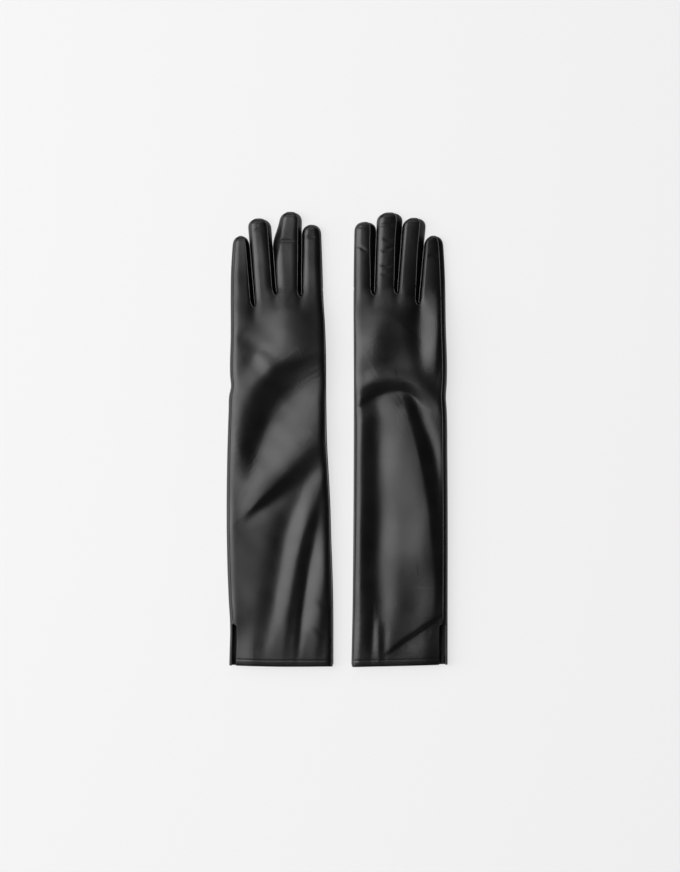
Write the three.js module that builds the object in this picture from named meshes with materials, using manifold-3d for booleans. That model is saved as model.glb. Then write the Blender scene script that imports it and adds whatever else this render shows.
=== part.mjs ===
// A pair of opera gloves in smooth faux leather, lying flat with their backs up and their thumbs folded
// under the palms. All lengths are in millimetres. +Z is up, the fingers point along +Y, and the gloves lie
// on z = 0. Both gloves are cut to one pattern. It is drawn for the right glove, whose little finger is on
// the outer side at large x, and the left glove is its mirror image.
import * as THREE from "three";
import { mergeVertices } from "three/addons/utils/BufferGeometryUtils.js";
import Module from "manifold-3d";

const wasm = await Module();
wasm.setup();

// Materials' thicknesses and the clearances between pieces
const SHELL = 0.9; // coated fabric of the outer panels
const LINING = 0.4; // knit lining
const SEAM_GAP = 0.3; // between pieces that are sewn together
const RUN_GAP = 0.3; // between a rounded root and the edge that it turns under
const FINGER_GAP = 1.2; // between neighbouring fingers
const THUMB_GAP = 0.4; // between the folded thumb and the palm above it

// Thickness of each stretch of the glove as it lies
const CUFF_THICK = 13;
const WRIST_THICK = 18;
const HAND_THICK = 12.2;
const FINGER_THICK = 11;
const THUMB_THICK = 7.8;

// Lengths along the arm
const WRIST_Y = 50;
const SLEEVE_LENGTH = 284;
const HEM_DEPTH = 12;
const VENT_LENGTH = 43;
const VENT_WIDTH = 2.4;
const VENT_FACING = 9;

// Widths: the glove's two edges, as distances from the middle of the pair. The two sleeves lie a little
// differently, so each has its own inner edge.
const OUTER_EDGE = { hem: 112.8, wrist: 112.2, forks: 110.2 };
const INNER_EDGE_AT_FORKS = 16.8;
const LAY = [
  { side: "left", innerHem: 5.2, innerWrist: 12.4 },
  { side: "right", innerHem: 14.4, innerWrist: 17.0 },
];

// The crotches between the fingers, and each fingertip with the finger's width near it
const FORKS = [
  { name: "fork_index_middle", x: 37.5, y: 150.2 },
  { name: "fork_middle_ring", x: 62.4, y: 152.1 },
  { name: "fork_ring_little", x: 84.4, y: 139.9 },
];
const FINGERS = [
  { name: "index", x: 28.4, y: 222.7, width: 20.4 },
  { name: "middle", x: 52.6, y: 234.6, width: 26.0 },
  { name: "ring", x: 79.6, y: 228.0, width: 24.6 },
  { name: "little", x: 100.2, y: 209.8, width: 18.6 },
];
const TIP_LENGTH = 12;
const FORK_STRIP = 4.6; // visible width of a fourchette
const CROTCH_DEPTH = 2.5; // how far a fourchette's fold reaches back from the crotch
const ROOT_TO_PIVOT = 7; // from the crotch to the line where the finger bends

// The thumb: its pivot is measured from the glove's inner edge at the crotches and from the wrist
const THUMB_INSET = 27.2;
const THUMB_FROM_WRIST = 26;
const THUMB_REACH = 48;
const THUMB_BASE_RADIUS = 12;
const THUMB_TIP_WIDTH = 21;
const THUMB_HOLE_RADIUS = 8.5;
const THUMB_LEAN = THREE.MathUtils.degToRad(15);

// Bends: how far each rounded root reaches back behind its pivot, as an angle, and how far the neighbour's
// walls stop short of the pivot
const FINGER_LIP = THREE.MathUtils.degToRad(38);
const WRIST_LIP = THREE.MathUtils.degToRad(37);
const FINGER_TOP_REACH = 3.5;
const WRIST_REACH = 5.6;

// Shape of the sections
const SIDE_ROUNDING = 12;
const FINGER_ROUNDING = 7;
const ARC_STEPS = 2;
const NEST = 0.04; // lets one body of a union stand just inside the next, so no faces coincide
const FAR = 400;

const LEATHER = { color: 0x1b1b1c, roughness: 0.38, metalness: 0 };
const KNIT = { color: 0x141415, roughness: 0.9, metalness: 0 };

const fingerRadius = FINGER_THICK / 2;
const wristRadius = WRIST_THICK / 2;
const hemY = WRIST_Y - SLEEVE_LENGTH;
const palmLift = THUMB_THICK + THUMB_GAP;
const thumbX = INNER_EDGE_AT_FORKS + THUMB_INSET;
const thumbY = WRIST_Y + THUMB_FROM_WRIST;
const thumbTopY = thumbY + THUMB_REACH * Math.cos(THUMB_LEAN);
const lowestFork = Math.min(...FORKS.map((fork) => fork.y));
const rootY = lowestFork - 4;
const liftStart = WRIST_Y + 2;
const liftEnd = thumbY - THUMB_BASE_RADIUS - 1;
const dropStart = thumbTopY + 1;
const liningInset = SHELL + SEAM_GAP;

// Value at y of a line through [y, value] points, level beyond its ends
function along(points, y) {
  if (y <= points[0][0]) {
    return points[0][1];
  }
  for (let i = 1; i < points.length; i += 1) {
    const [y0, v0] = points[i - 1];
    const [y1, v1] = points[i];
    if (y <= y1) {
      return v0 + ((v1 - v0) * (y - y0)) / (y1 - y0);
    }
  }
  return points[points.length - 1][1];
}

const UNDERSIDE = [[liftStart, 0], [liftEnd, palmLift], [dropStart, palmLift], [rootY, 0]];
const TOPSIDE = [
  [hemY, CUFF_THICK],
  [WRIST_Y, WRIST_THICK],
  [liftStart, WRIST_THICK],
  [liftEnd, palmLift + HAND_THICK],
  [dropStart, palmLift + HAND_THICK],
  [rootY, FINGER_THICK],
];

const middleZ = (y) => (along(UNDERSIDE, y) + along(TOPSIDE, y)) / 2;
const halfThick = (y) => (along(TOPSIDE, y) - along(UNDERSIDE, y)) / 2;

// Closed geometry -> manifold solid
function solid(geometry) {
  const bare = geometry.index ? geometry : geometry.clone();
  bare.deleteAttribute("normal");
  bare.deleteAttribute("uv");
  const merged = mergeVertices(bare, 1e-4);
  const mesh = new wasm.Mesh({
    numProp: 3,
    vertProperties: new Float32Array(merged.attributes.position.array),
    triVerts: new Uint32Array(merged.index.array),
  });
  return new wasm.Manifold(mesh);
}

// Manifold solid -> geometry
function geometryOf(body) {
  const { vertProperties, triVerts } = body.getMesh();
  const geometry = new THREE.BufferGeometry();
  geometry.setAttribute("position", new THREE.BufferAttribute(vertProperties, 3));
  geometry.setIndex(new THREE.BufferAttribute(triVerts, 1));
  return geometry;
}

const join = (bodies) => bodies.reduce((all, body) => all.add(body));
const cut = (body, tools) => tools.reduce((rest, tool) => rest.subtract(tool), body);

function box(x0, x1, y0, y1, z0, z1) {
  const geometry = new THREE.BoxGeometry(x1 - x0, y1 - y0, z1 - z0);
  geometry.translate((x0 + x1) / 2, (y0 + y1) / 2, (z0 + z1) / 2);
  return solid(geometry);
}

// Room for a rounded root to turn in, ahead of the edges that it turns under: the edges above and below stop
// at their reach from the pivot, and whatever lies between them stops clear of the root's circle
function turningRoom(x0, x1, pivotY, radius, topReach, bottomReach) {
  const level = (reach) => Math.sqrt(Math.max((radius + RUN_GAP / 2) ** 2 - reach ** 2, 0));
  const end = pivotY + 2 * radius;
  return join([
    box(x0, x1, pivotY - radius - RUN_GAP, end, radius - level(bottomReach), radius + level(topReach)),
    box(x0, x1, pivotY - topReach, end, radius, 4 * radius),
    box(x0, x1, pivotY - bottomReach, end, -radius, radius),
  ]);
}

// One section of a flat tube in the plane at y: flat above and below, with half-elliptical sides
function section({ y, x0, x1, z, half, rounding }) {
  const halfWidth = (x1 - x0) / 2;
  const round = Math.min(rounding, 0.9 * halfWidth);
  const middle = (x0 + x1) / 2;
  const points = [];
  for (const side of [1, -1]) {
    for (let i = 0; i <= 2 * ARC_STEPS; i += 1) {
      const angle = ((i / ARC_STEPS - 1) * Math.PI) / 2;
      const x = middle + side * (halfWidth - round + round * Math.cos(angle));
      points.push(new THREE.Vector3(x, y, z + side * half * Math.sin(angle)));
    }
  }
  return points;
}

// Closed body through a row of sections, its ends drawn in to a point each
function loft(sections, start, end) {
  const count = sections[0].length;
  const middleOf = (ring) =>
    ring.reduce((sum, p) => sum.add(p), new THREE.Vector3()).divideScalar(count);
  const points = [start ?? middleOf(sections[0]), ...sections.flat(), end ?? middleOf(sections.at(-1))];
  const last = points.length - 1;
  const faces = [];
  for (let j = 0; j < count; j += 1) {
    const k = (j + 1) % count;
    faces.push(0, 1 + j, 1 + k);
    for (let i = 0; i < sections.length - 1; i += 1) {
      const a = 1 + i * count;
      const b = a + count;
      faces.push(a + j, b + j, a + k, a + k, b + j, b + k);
    }
    faces.push(last, last - count + k, last - count + j);
  }
  const geometry = new THREE.BufferGeometry().setFromPoints(points);
  geometry.setIndex(faces);
  return solid(geometry);
}

// Sections of a rounded root, from behind the pivot up to it: the half thickness follows a circle about the
// pivot line. The hollow of an inset body runs on a little, so that it opens the root.
function rootSections(pivotY, radius, lip, inset, shape) {
  const sections = inset > 0 ? [-1.6, -1, 0] : [-1, 0];
  return sections.map((share) => {
    const back = -radius * Math.sin(Math.max(share, -1) * lip);
    const half = Math.sqrt((radius - inset) ** 2 - Math.min(back, 0.8 * (radius - inset)) ** 2);
    const beyond = share < -1 ? 1 : 0;
    return section({ ...shape(pivotY), y: pivotY - back - beyond, half });
  });
}

// The finger's two edges at y
function fingerEdges(index, y) {
  const { x, y: tipY, width } = FINGERS[index];
  const inner = FORKS[index - 1];
  const outer = FORKS[index];
  const start = fingerBaseY(index);
  const end = tipY - TIP_LENGTH;
  const low = inner ? inner.x + FINGER_GAP / 2 : INNER_EDGE_AT_FORKS;
  const high = outer ? outer.x - FINGER_GAP / 2 : OUTER_EDGE.forks;
  return [
    along([[start, low], [end, x - width / 2]], y),
    along([[start, high], [end, x + width / 2]], y),
  ];
}

const fingerBaseY = (index) =>
  Math.max(...[FORKS[index - 1], FORKS[index]].filter(Boolean).map((fork) => fork.y));
const pivotOf = (index) => fingerBaseY(index) + ROOT_TO_PIVOT;

// A whole finger, closed at its tip and rounded at its root
function fingerBody(index, inset) {
  const pivotY = pivotOf(index);
  const tip = FINGERS[index];
  const tipStart = tip.y - TIP_LENGTH;
  const radius = fingerRadius - inset;
  const shape = (y) => {
    const [low, high] = fingerEdges(index, y);
    return { y, x0: low + inset, x1: high - inset, z: fingerRadius, half: radius, rounding: FINGER_ROUNDING - inset };
  };
  const sections = rootSections(pivotY, fingerRadius, FINGER_LIP, inset, shape);
  sections.push(section(shape(tipStart)));
  for (const angle of [35, 68].map(THREE.MathUtils.degToRad)) {
    const base = shape(tipStart);
    const middle = (base.x0 + base.x1) / 2;
    const halfWidth = ((base.x1 - base.x0) / 2) * Math.cos(angle) ** 0.62;
    sections.push(
      section({
        ...base,
        y: tipStart + (TIP_LENGTH - inset) * Math.sin(angle),
        x0: middle - halfWidth,
        x1: middle + halfWidth,
        half: radius * Math.cos(angle) ** 0.7,
      }),
    );
  }
  const [low, high] = fingerEdges(index, tip.y);
  return loft(sections, undefined, new THREE.Vector3((low + high) / 2, tip.y - inset, fingerRadius));
}

// Level piece of the hand beyond the palm, between two x limits
function handStrip(limits, y0, y1, inset, nest) {
  const half = fingerRadius - inset - nest;
  const sections = [y0, y1].map((y) => {
    const [x0, x1] = limits(y);
    return section({ y, x0, x1, z: fingerRadius, half, rounding: FINGER_ROUNDING - inset });
  });
  return loft(sections);
}

// The hand with the roots of its four fingers, still closed
function handBody(lay, inset) {
  const palmEnd = lowestFork - 1.5;
  const inner = [[WRIST_Y, lay.innerWrist], [palmEnd, INNER_EDGE_AT_FORKS]];
  const outer = [[WRIST_Y, OUTER_EDGE.wrist], [palmEnd, OUTER_EDGE.forks]];
  const shape = (y) => ({
    y,
    x0: along(inner, y) + inset,
    x1: along(outer, y) - inset,
    z: middleZ(y),
    half: halfThick(y) - inset,
    rounding: SIDE_ROUNDING - inset,
  });
  const sections = rootSections(WRIST_Y, wristRadius, WRIST_LIP, inset, shape);
  for (const y of [liftStart, liftEnd, dropStart, rootY, palmEnd - inset]) {
    sections.push(section(shape(y)));
  }
  const bodies = [loft(sections)];
  const start = rootY + 0.3;
  FORKS.forEach((fork, i) => {
    const limits = () => [FINGERS[i].x, FINGERS[i + 1].x - 4];
    bodies.push(handStrip(limits, start, fork.y - inset, inset, NEST));
  });
  FINGERS.forEach((finger, i) => {
    const limits = (y) => {
      const [low, high] = fingerEdges(i, y);
      return [low + inset, high - inset];
    };
    bodies.push(handStrip(limits, start + 0.3, pivotOf(i) + 2, inset, 2 * NEST));
  });
  return join(bodies);
}

// The sleeve, still closed; its hollow runs out through both ends
function sleeveBody(lay, inset) {
  const beyond = inset > 0 ? 1 : 0;
  const start = hemY - beyond;
  const end = WRIST_Y - WRIST_REACH + beyond;
  const inner = [[hemY, lay.innerHem], [WRIST_Y, lay.innerWrist]];
  const outer = [[hemY, OUTER_EDGE.hem], [WRIST_Y, OUTER_EDGE.wrist]];
  const sections = [start, (start + end) / 2, end].map((y) =>
    section({
      y,
      x0: along(inner, y) + inset,
      x1: along(outer, y) - inset,
      z: middleZ(y),
      half: halfThick(y) - inset,
      rounding: SIDE_ROUNDING - inset,
    }),
  );
  return loft(sections);
}

// Everything above, or below, the seams at half height
function halfSpace(above) {
  const offset = above ? SEAM_GAP / 2 : -SEAM_GAP / 2;
  const side = above ? FAR : -FAR;
  const bends = [hemY - 10, WRIST_Y, liftStart, liftEnd, dropStart, rootY, FAR];
  const outline = bends.map((y) => new THREE.Vector2(y, middleZ(y) + offset));
  outline.push(new THREE.Vector2(FAR, side), new THREE.Vector2(hemY - 10, side));
  const geometry = new THREE.ExtrudeGeometry(new THREE.Shape(outline), { depth: FAR, bevelEnabled: false });
  // the outline's plane is turned so that its first axis is Y and its second is Z
  const turn = new THREE.Matrix4().makeBasis(
    new THREE.Vector3(0, 1, 0),
    new THREE.Vector3(0, 0, 1),
    new THREE.Vector3(1, 0, 0),
  );
  geometry.applyMatrix4(turn);
  geometry.translate(-FAR / 4, 0, 0);
  return solid(geometry);
}

const upper = halfSpace(true);
const lower = halfSpace(false);

// Room for a finger's root to turn in: the round root itself, and the walls above and below it cut back
function fingerSocket(index, topReach) {
  const pivotY = pivotOf(index);
  const [baseLow, baseHigh] = fingerEdges(index, fingerBaseY(index));
  const [low, high] = fingerEdges(index, pivotY + 3);
  const x0 = Math.min(baseLow, low) - FINGER_GAP / 3;
  const x1 = Math.max(baseHigh, high) + FINGER_GAP / 3;
  return turningRoom(x0, x1, pivotY, fingerRadius, topReach, fingerRadius + RUN_GAP);
}

// The band of height that a fourchette takes beside a crotch
function forkBox(fork, grow) {
  const half = FORK_STRIP / 2 + grow;
  const start = fork.y - CROTCH_DEPTH - grow;
  return box(fork.x - 5 - grow, fork.x + 5 + grow, start, FAR, fingerRadius - half, fingerRadius + half);
}

// The same band along one side of a finger, ending short of the fingertip
function stripBox(index, side, grow) {
  const end = FINGERS[index].y - TIP_LENGTH / 2 + grow;
  const [low, high] = fingerEdges(index, FINGERS[index].y);
  const [rootLow, rootHigh] = fingerEdges(index, pivotOf(index));
  const reach = FINGER_ROUNDING / 2 + grow;
  const half = FORK_STRIP / 2 + grow;
  const x0 = side < 0 ? Math.min(low, rootLow) - 1 : Math.min(high, rootHigh) - reach;
  const x1 = side < 0 ? Math.max(low, rootLow) + reach : Math.max(high, rootHigh) + 1;
  return box(x0, x1, 0, end, fingerRadius - half, fingerRadius + half);
}

function named(name, body, look) {
  const mesh = new THREE.Mesh(geometryOf(body), new THREE.MeshStandardMaterial(look));
  mesh.name = name;
  return mesh;
}

// Between two insets of the same body
const wall = (body, from, to) => body(from).subtract(body(to));

// The side vent's slot, and the band beside it that its facing covers
function ventSlot() {
  const z = middleZ(hemY);
  const side = OUTER_EDGE.hem;
  return box(side - SIDE_ROUNDING, side + 5, hemY - 5, hemY + VENT_LENGTH, z - VENT_WIDTH / 2, z + VENT_WIDTH / 2);
}

function facingZone(start, grow) {
  const ventEnd = hemY + VENT_LENGTH + 4 + grow;
  return join([
    box(-20, FAR / 2, start, hemY + HEM_DEPTH + grow, -5, FAR / 2),
    box(OUTER_EDGE.hem - VENT_FACING - grow, FAR / 2, start, ventEnd, -5, FAR / 2),
  ]);
}

function sleeve(lay) {
  const body = (inset) => sleeveBody(lay, inset);
  const wristRoom = turningRoom(-20, FAR / 2, WRIST_Y, wristRadius, WRIST_REACH, WRIST_REACH);
  const clear = wristRadius + RUN_GAP;
  const liningRoom = turningRoom(-20, FAR / 2, WRIST_Y, wristRadius, clear, clear);
  const slot = ventSlot();
  const shell = cut(wall(body, 0, SHELL), [wristRoom, slot]);
  const facing = wall(body, liningInset, liningInset + SHELL).intersect(facingZone(hemY, 0));
  const lining = wall(body, liningInset, liningInset + LINING);
  return [
    named("sleeve_back", shell.intersect(upper), LEATHER),
    named("sleeve_palm", shell.intersect(lower), LEATHER),
    named("cuff_hem", facing.subtract(slot), LEATHER),
    named("sleeve_lining", cut(lining, [facingZone(hemY - 5, SEAM_GAP), liningRoom]), KNIT),
  ];
}

// Opening between the palm and the folded thumb under it, round about the thumb's pivot
function thumbHole() {
  const bottom = THUMB_THICK / 2;
  const height = palmLift + 4 - bottom;
  const geometry = new THREE.CylinderGeometry(THUMB_HOLE_RADIUS, THUMB_HOLE_RADIUS, height, 16);
  geometry.rotateX(Math.PI / 2);
  geometry.translate(thumbX, thumbY, bottom + height / 2);
  return solid(geometry);
}

function hand(lay) {
  const body = (inset) => handBody(lay, inset);
  const sockets = FINGERS.map((finger, i) => fingerSocket(i, FINGER_TOP_REACH));
  const shell = cut(wall(body, 0, SHELL), sockets);
  const forkZones = FORKS.map((fork) => forkBox(fork, SEAM_GAP));
  const hole = thumbHole();
  const liningSockets = FINGERS.map((finger, i) => fingerSocket(i, fingerRadius + RUN_GAP));
  const beforeWrist = box(-20, FAR / 2, 0, WRIST_Y - 2, -5, FAR / 2);
  const lining = wall(body, liningInset, liningInset + LINING);
  return [
    named("hand_back", cut(shell.intersect(upper), forkZones), LEATHER),
    named("hand_palm", cut(shell.intersect(lower), [...forkZones, hole]), LEATHER),
    ...FORKS.map((fork) => named(fork.name, shell.intersect(forkBox(fork, 0)), LEATHER)),
    named("hand_lining", cut(lining, [...liningSockets, hole, beforeWrist]), KNIT),
  ];
}

function finger(index) {
  const { name } = FINGERS[index];
  const body = (inset) => fingerBody(index, inset);
  const shell = wall(body, 0, SHELL);
  const sides = [];
  if (index > 0) {
    sides.push({ side: -1, name: `${name}_fork_strip_inner` });
  }
  if (index < FORKS.length) {
    sides.push({ side: 1, name: `${name}_fork_strip_outer` });
  }
  const zones = sides.map(({ side }) => stripBox(index, side, SEAM_GAP));
  const rootSide = box(-20, FAR / 2, 0, pivotOf(index) - 1, -5, FAR / 2);
  const lining = wall(body, liningInset, liningInset + LINING).subtract(rootSide);
  return [
    named(`${name}_back`, cut(shell.intersect(upper), zones), LEATHER),
    named(`${name}_palm`, cut(shell.intersect(lower), zones), LEATHER),
    ...sides.map(({ side, name: strip }) => named(strip, shell.intersect(stripBox(index, side, 0)), LEATHER)),
    named(`${name}_lining`, lining, KNIT),
  ];
}

// The thumb along its own +Y, its pivot at the origin: round at the base, rounded at the tip
function thumbBody(inset) {
  const edge = 4; // how far the thickness takes to come in at each end
  const half = THUMB_THICK / 2 - inset;
  const start = -THUMB_BASE_RADIUS + inset;
  const end = THUMB_REACH - inset;
  const tipHalf = THUMB_TIP_WIDTH / 2 - inset;
  const tipStart = THUMB_REACH - TIP_LENGTH;
  const baseHalf = THUMB_BASE_RADIUS - inset;
  const at = (y, halfWidth, thick) =>
    section({ y, x0: -halfWidth, x1: halfWidth, z: THUMB_THICK / 2, half: thick, rounding: edge - inset });
  const sections = [];
  for (const angle of [68, 35, 0].map(THREE.MathUtils.degToRad)) {
    const thick = half * Math.cos(angle) ** 0.35;
    sections.push(at(-baseHalf * Math.sin(angle), baseHalf * Math.cos(angle), thick));
  }
  for (const angle of [0, 35, 68].map(THREE.MathUtils.degToRad)) {
    const y = tipStart + (TIP_LENGTH - inset) * Math.sin(angle);
    sections.push(at(y, tipHalf * Math.cos(angle) ** 0.62, half * Math.cos(angle) ** 0.5));
  }
  const z = THUMB_THICK / 2;
  return loft(sections, new THREE.Vector3(0, start, z), new THREE.Vector3(0, end, z));
}

function thumb() {
  const lean = -THREE.MathUtils.radToDeg(THUMB_LEAN);
  const place = (body) => body.rotate([0, 0, lean]).translate([thumbX, thumbY, 0]);
  const body = (inset) => place(thumbBody(inset));
  const hole = thumbHole();
  return [
    named("thumb_stall", wall(body, 0, SHELL).subtract(hole), LEATHER),
    named("thumb_lining", wall(body, liningInset, liningInset + LINING).subtract(hole), KNIT),
  ];
}

function glove(lay) {
  const group = new THREE.Group();
  group.add(...sleeve(lay), ...hand(lay), ...FINGERS.flatMap((tip, i) => finger(i)), ...thumb());
  for (const mesh of group.children) {
    mesh.name = `${lay.side}_${mesh.name}`;
  }
  group.scale.x = lay.side === "left" ? -1 : 1;
  return group;
}

// The pair, moved so that the origin is under the middle of its box
function pair() {
  const gloves = new THREE.Group();
  gloves.add(...LAY.map(glove));
  gloves.updateMatrixWorld(true);
  const middle = new THREE.Box3().setFromObject(gloves, true).getCenter(new THREE.Vector3());
  gloves.position.set(-middle.x, -middle.y, 0);
  return gloves;
}

export default pair();
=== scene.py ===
# %% [markdown]
# # A pair of long opera gloves in black coated leather
# The gloves lie flat, backs up, thumbs folded under the palms. The rigid model gives the joints and
# the sizes; this lesson dresses it. A glove could be sculpted or simulated as cloth, but then its seams
# would fall where they like. So every panel below is a sheet worked out with numpy: a grid of rows along
# the arm and columns across it, turned into a mesh in one go.

# %% Load the frame
import math
import bpy
import numpy as np
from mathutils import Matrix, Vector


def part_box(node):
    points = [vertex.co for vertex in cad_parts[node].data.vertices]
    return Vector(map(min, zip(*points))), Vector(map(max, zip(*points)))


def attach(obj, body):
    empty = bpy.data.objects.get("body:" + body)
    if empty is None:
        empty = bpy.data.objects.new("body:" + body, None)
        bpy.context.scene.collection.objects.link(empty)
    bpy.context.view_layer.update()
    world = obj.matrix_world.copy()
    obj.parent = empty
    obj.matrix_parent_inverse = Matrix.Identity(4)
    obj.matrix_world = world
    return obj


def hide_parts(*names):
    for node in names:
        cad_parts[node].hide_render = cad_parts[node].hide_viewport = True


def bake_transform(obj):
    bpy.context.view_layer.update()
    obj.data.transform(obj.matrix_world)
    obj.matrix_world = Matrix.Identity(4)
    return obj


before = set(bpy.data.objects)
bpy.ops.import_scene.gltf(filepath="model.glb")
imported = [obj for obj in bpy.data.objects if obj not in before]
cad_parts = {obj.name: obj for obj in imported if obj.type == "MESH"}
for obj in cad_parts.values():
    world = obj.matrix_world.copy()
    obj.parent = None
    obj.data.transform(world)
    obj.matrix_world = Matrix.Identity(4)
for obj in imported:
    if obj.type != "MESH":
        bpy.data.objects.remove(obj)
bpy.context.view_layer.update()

# %% [markdown]
# ## Sizes
# A glove maker works from a pattern, so the sizes are kept in millimetres, measured from the middle of
# the pair (`u`, outwards) and along the arm (`v`, towards the fingertips). The left glove is the same
# pattern turned over: its x is minus u. Each glove was laid down by hand, so each has its own outline,
# fork places and folds.

# %% Driving sizes, in millimetres
MM = 0.001
FINGERS = ("index", "middle", "ring", "little")
HEM = -236.0
VENT_TOP = -189.0
FORK_SLIT = 3.0
CUT_ABOVE_FORK = 5.0
FINGER_GAP = 0.06
TIP_LENGTH = 10.5
SIDE_ROUNDING = 9.5
TIP_ROUNDING = 6.0
ROW_TOLERANCE = 0.01
print("from the hem to the vent's top:", VENT_TOP - HEM, "mm")

# %% [markdown]
# ## The two patterns
# `inner` and `outer` are the edges of the hand and sleeve as (v, u) points, `hem` gives the slant of the
# cuff as (u, v) points, and `forks` are the (u, v) places where the fingers part. `spread` says where the
# lines between the fingers have got to at SPREAD_ROW, and `tips` is the v of each fingertip. The other
# values say how far the seams lie inside the silhouette and how round each side of a finger is.

# %% Both gloves, each as it was laid down
GLOVES = {
    "right": dict(
        sign=1,
        side_seam=5.0,
        vent=9.4,
        finger_seams=(2.4, 4.2, 6.4),
        inner=[(-235, 14.3), (-180, 15.4), (-80, 16.4), (30, 16.8), (180, 16.8), (225, 17.6)],
        outer=[(-235, 113.2), (-20, 112.9), (30, 112.2), (44, 111.4), (58, 112.2), (120, 111.2),
               (172, 110.3), (190, 109.4), (212, 107.8)],
        hem=[(14, -234.0), (60, -233.0), (112, -231.6)],
        forks=[(37.6, 151.2), (61.4, 152.6), (83.4, 141.0)],
        spread=[39.6, 66.0, 90.2],
        tips=[224.2, 234.0, 228.4, 210.0],
        narrow=[0.0, 0.0, 0.0, 0.0],
        round_inner=[0.32, 0.30, 0.20, 0.18],
        round_outer=[0.62, 0.64, 0.80, 0.80],
    ),
    "left": dict(
        sign=-1,
        side_seam=3.0,
        vent=7.6,
        finger_seams=(3.9, 2.2, 3.2),
        inner=[(-235, 5.2), (-160, 5.5), (-130, 6.3), (-104, 7.3), (-66, 8.4), (-42, 9.6), (-5, 11.6),
               (40, 12.5), (90, 12.8), (118, 13.8), (143, 15.4), (180, 16.6), (222, 18.2)],
        outer=[(-235, 112.2), (-190, 111.4), (-165, 112.8), (30, 112.8), (45, 112.2), (54, 110.4),
               (66, 111.2), (105, 110.6), (180, 110.2), (212, 108.0)],
        hem=[(5, -233.4), (60, -233.6), (112, -232.4)],
        forks=[(37.9, 149.2), (63.7, 151.4), (86.0, 138.8)],
        spread=[37.4, 68.6, 92.6],
        tips=[221.2, 234.6, 227.8, 209.8],
        narrow=[0.0, 9.5, 0.0, 0.0],
        round_inner=[0.36, 0.36, 0.50, 0.28],
        round_outer=[0.36, 0.34, 0.34, 0.40],
    ),
}
print("gloves:", list(GLOVES))


# %% [markdown]
# ## Curves through a few points
# An edge of the pattern is a smooth line through a handful of points. A Bezier curve object could draw
# it too, but a formula can be asked for its value anywhere, on whole arrays. `through` draws the edge as
# cubic pieces whose slope at each point is the slope between its neighbours.

# %% Small curve helpers
def smoothstep(start, end, x):
    """0 before start, 1 after end, 3t² - 2t³ between."""
    t = np.clip((x - start) / (end - start), 0, 1)
    return t * t * (3 - 2 * t)


def through(points, x):
    """Cubic Hermite curve through (x, y) points, level beyond them."""
    xs, ys = np.array(points, float).T
    slopes = np.gradient(ys, xs)
    x = np.clip(x, xs[0], xs[-1])
    i = np.clip(np.searchsorted(xs, x, side="right") - 1, 0, len(xs) - 2)
    h = xs[i + 1] - xs[i]
    t = (x - xs[i]) / h
    return ((2 * t**3 - 3 * t**2 + 1) * ys[i] + (t**3 - 2 * t**2 + t) * h * slopes[i]
            + (3 * t**2 - 2 * t**3) * ys[i + 1] + (t**3 - t**2) * h * slopes[i + 1])


def crown(distance, radius, power=2):
    """Height of a rounded edge, from 0 at its foot to 1 at radius: (1 - (1 - d/r)^power)^(1/power)."""
    return np.clip(1 - (1 - np.clip(distance / radius, 0, 1)) ** power, 0, 1) ** (1 / power)


print("a rounded edge, halfway in:", round(float(crown(0.5, 1.0)), 3))


# %% Heights along the arm
TOP_PROFILE = [(-236, 12.6), (-120, 14.6), (0, 17.2), (50, 18.4), (95, 19.8), (125, 17.6), (150, 14.2),
               (176, 11.4), (236, 11.0)]
THUMB_ROOM = 8.2
THUMB_RISE = (34, 63)
THUMB_FALL = (150, 123)
OUTER_SAG = (74, 106)
SAG_SHARE = 0.9


def levels(u, v):
    """Top, bottom and seam height at (u, v): the thumb lifts the palm, which sags at the outer side."""
    top = through(TOP_PROFILE, v)
    over_thumb = smoothstep(*THUMB_RISE, v) * smoothstep(*THUMB_FALL, v)
    bottom = THUMB_ROOM * over_thumb * (1 - SAG_SHARE * smoothstep(*OUTER_SAG, u))
    return top, bottom, 0.5 * (top + bottom)


print("top at the wrist:", round(float(levels(60.0, 50.0)[0]), 1), "mm")


# %% [markdown]
# ## Fingers as lanes
# The back of a leather glove is one piece of leather, slit between the fingers. So the pattern is laid
# out as four lanes, one per finger, that run from the hem to the fingertips. Below a slit two lanes
# share an edge; above it they part, and each lane rounds off like a finger. Four finger tubes stuck onto
# a hand would be quicker, but each would leave a ring where it starts, which sewn leather doesn't have.

# %% Lane edges
SPREAD_ROW = 215
SLIT_ROUNDING = 9
TIP_POWER = 2.5
LEAST_WIDTH = 0.02
NARROWED = (198, 232)


def border(glove, k, v):
    """u of the line between finger k and finger k + 1: straight down below the fork, leaning above."""
    u, fork = glove["forks"][k]
    return u + (glove["spread"][k] - u) * np.clip((v - fork) / (SPREAD_ROW - fork), 0, 2)


def opening(glove, k, v):
    """0 below slit k and 1 above it; the slit's foot is a rounded U."""
    t = np.clip((v - glove["forks"][k][1] + FORK_SLIT) / SLIT_ROUNDING, 0, 1)
    return np.sqrt(t * (2 - t))


def tip_round(glove, i, v):
    """Share of a finger's width left at v: a rounded square, (1 - t^p)^(1/p) with p = TIP_POWER."""
    t = np.clip((v - glove["tips"][i] + TIP_LENGTH) / TIP_LENGTH, 0, 1)
    return np.maximum((1 - t**TIP_POWER) ** (1 / TIP_POWER), LEAST_WIDTH)


def silhouette(glove, i, v):
    """Inner and outer edge of lane i at v, seen from above."""
    inner = through(glove["inner"], v)
    outer = through(glove["outer"], v)
    if i > 0:
        inner = border(glove, i - 1, v) + 0.5 * FINGER_GAP * opening(glove, i - 1, v)
    if i < 3:
        outer = border(glove, i, v) - 0.5 * FINGER_GAP * opening(glove, i, v)
        outer = outer - glove["narrow"][i] * smoothstep(*NARROWED, v)
    middle, half = 0.5 * (inner + outer), 0.5 * (outer - inner) * tip_round(glove, i, v)
    return middle - half, middle + half


print("a fingertip is rounded over", TIP_LENGTH, "mm")


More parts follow.
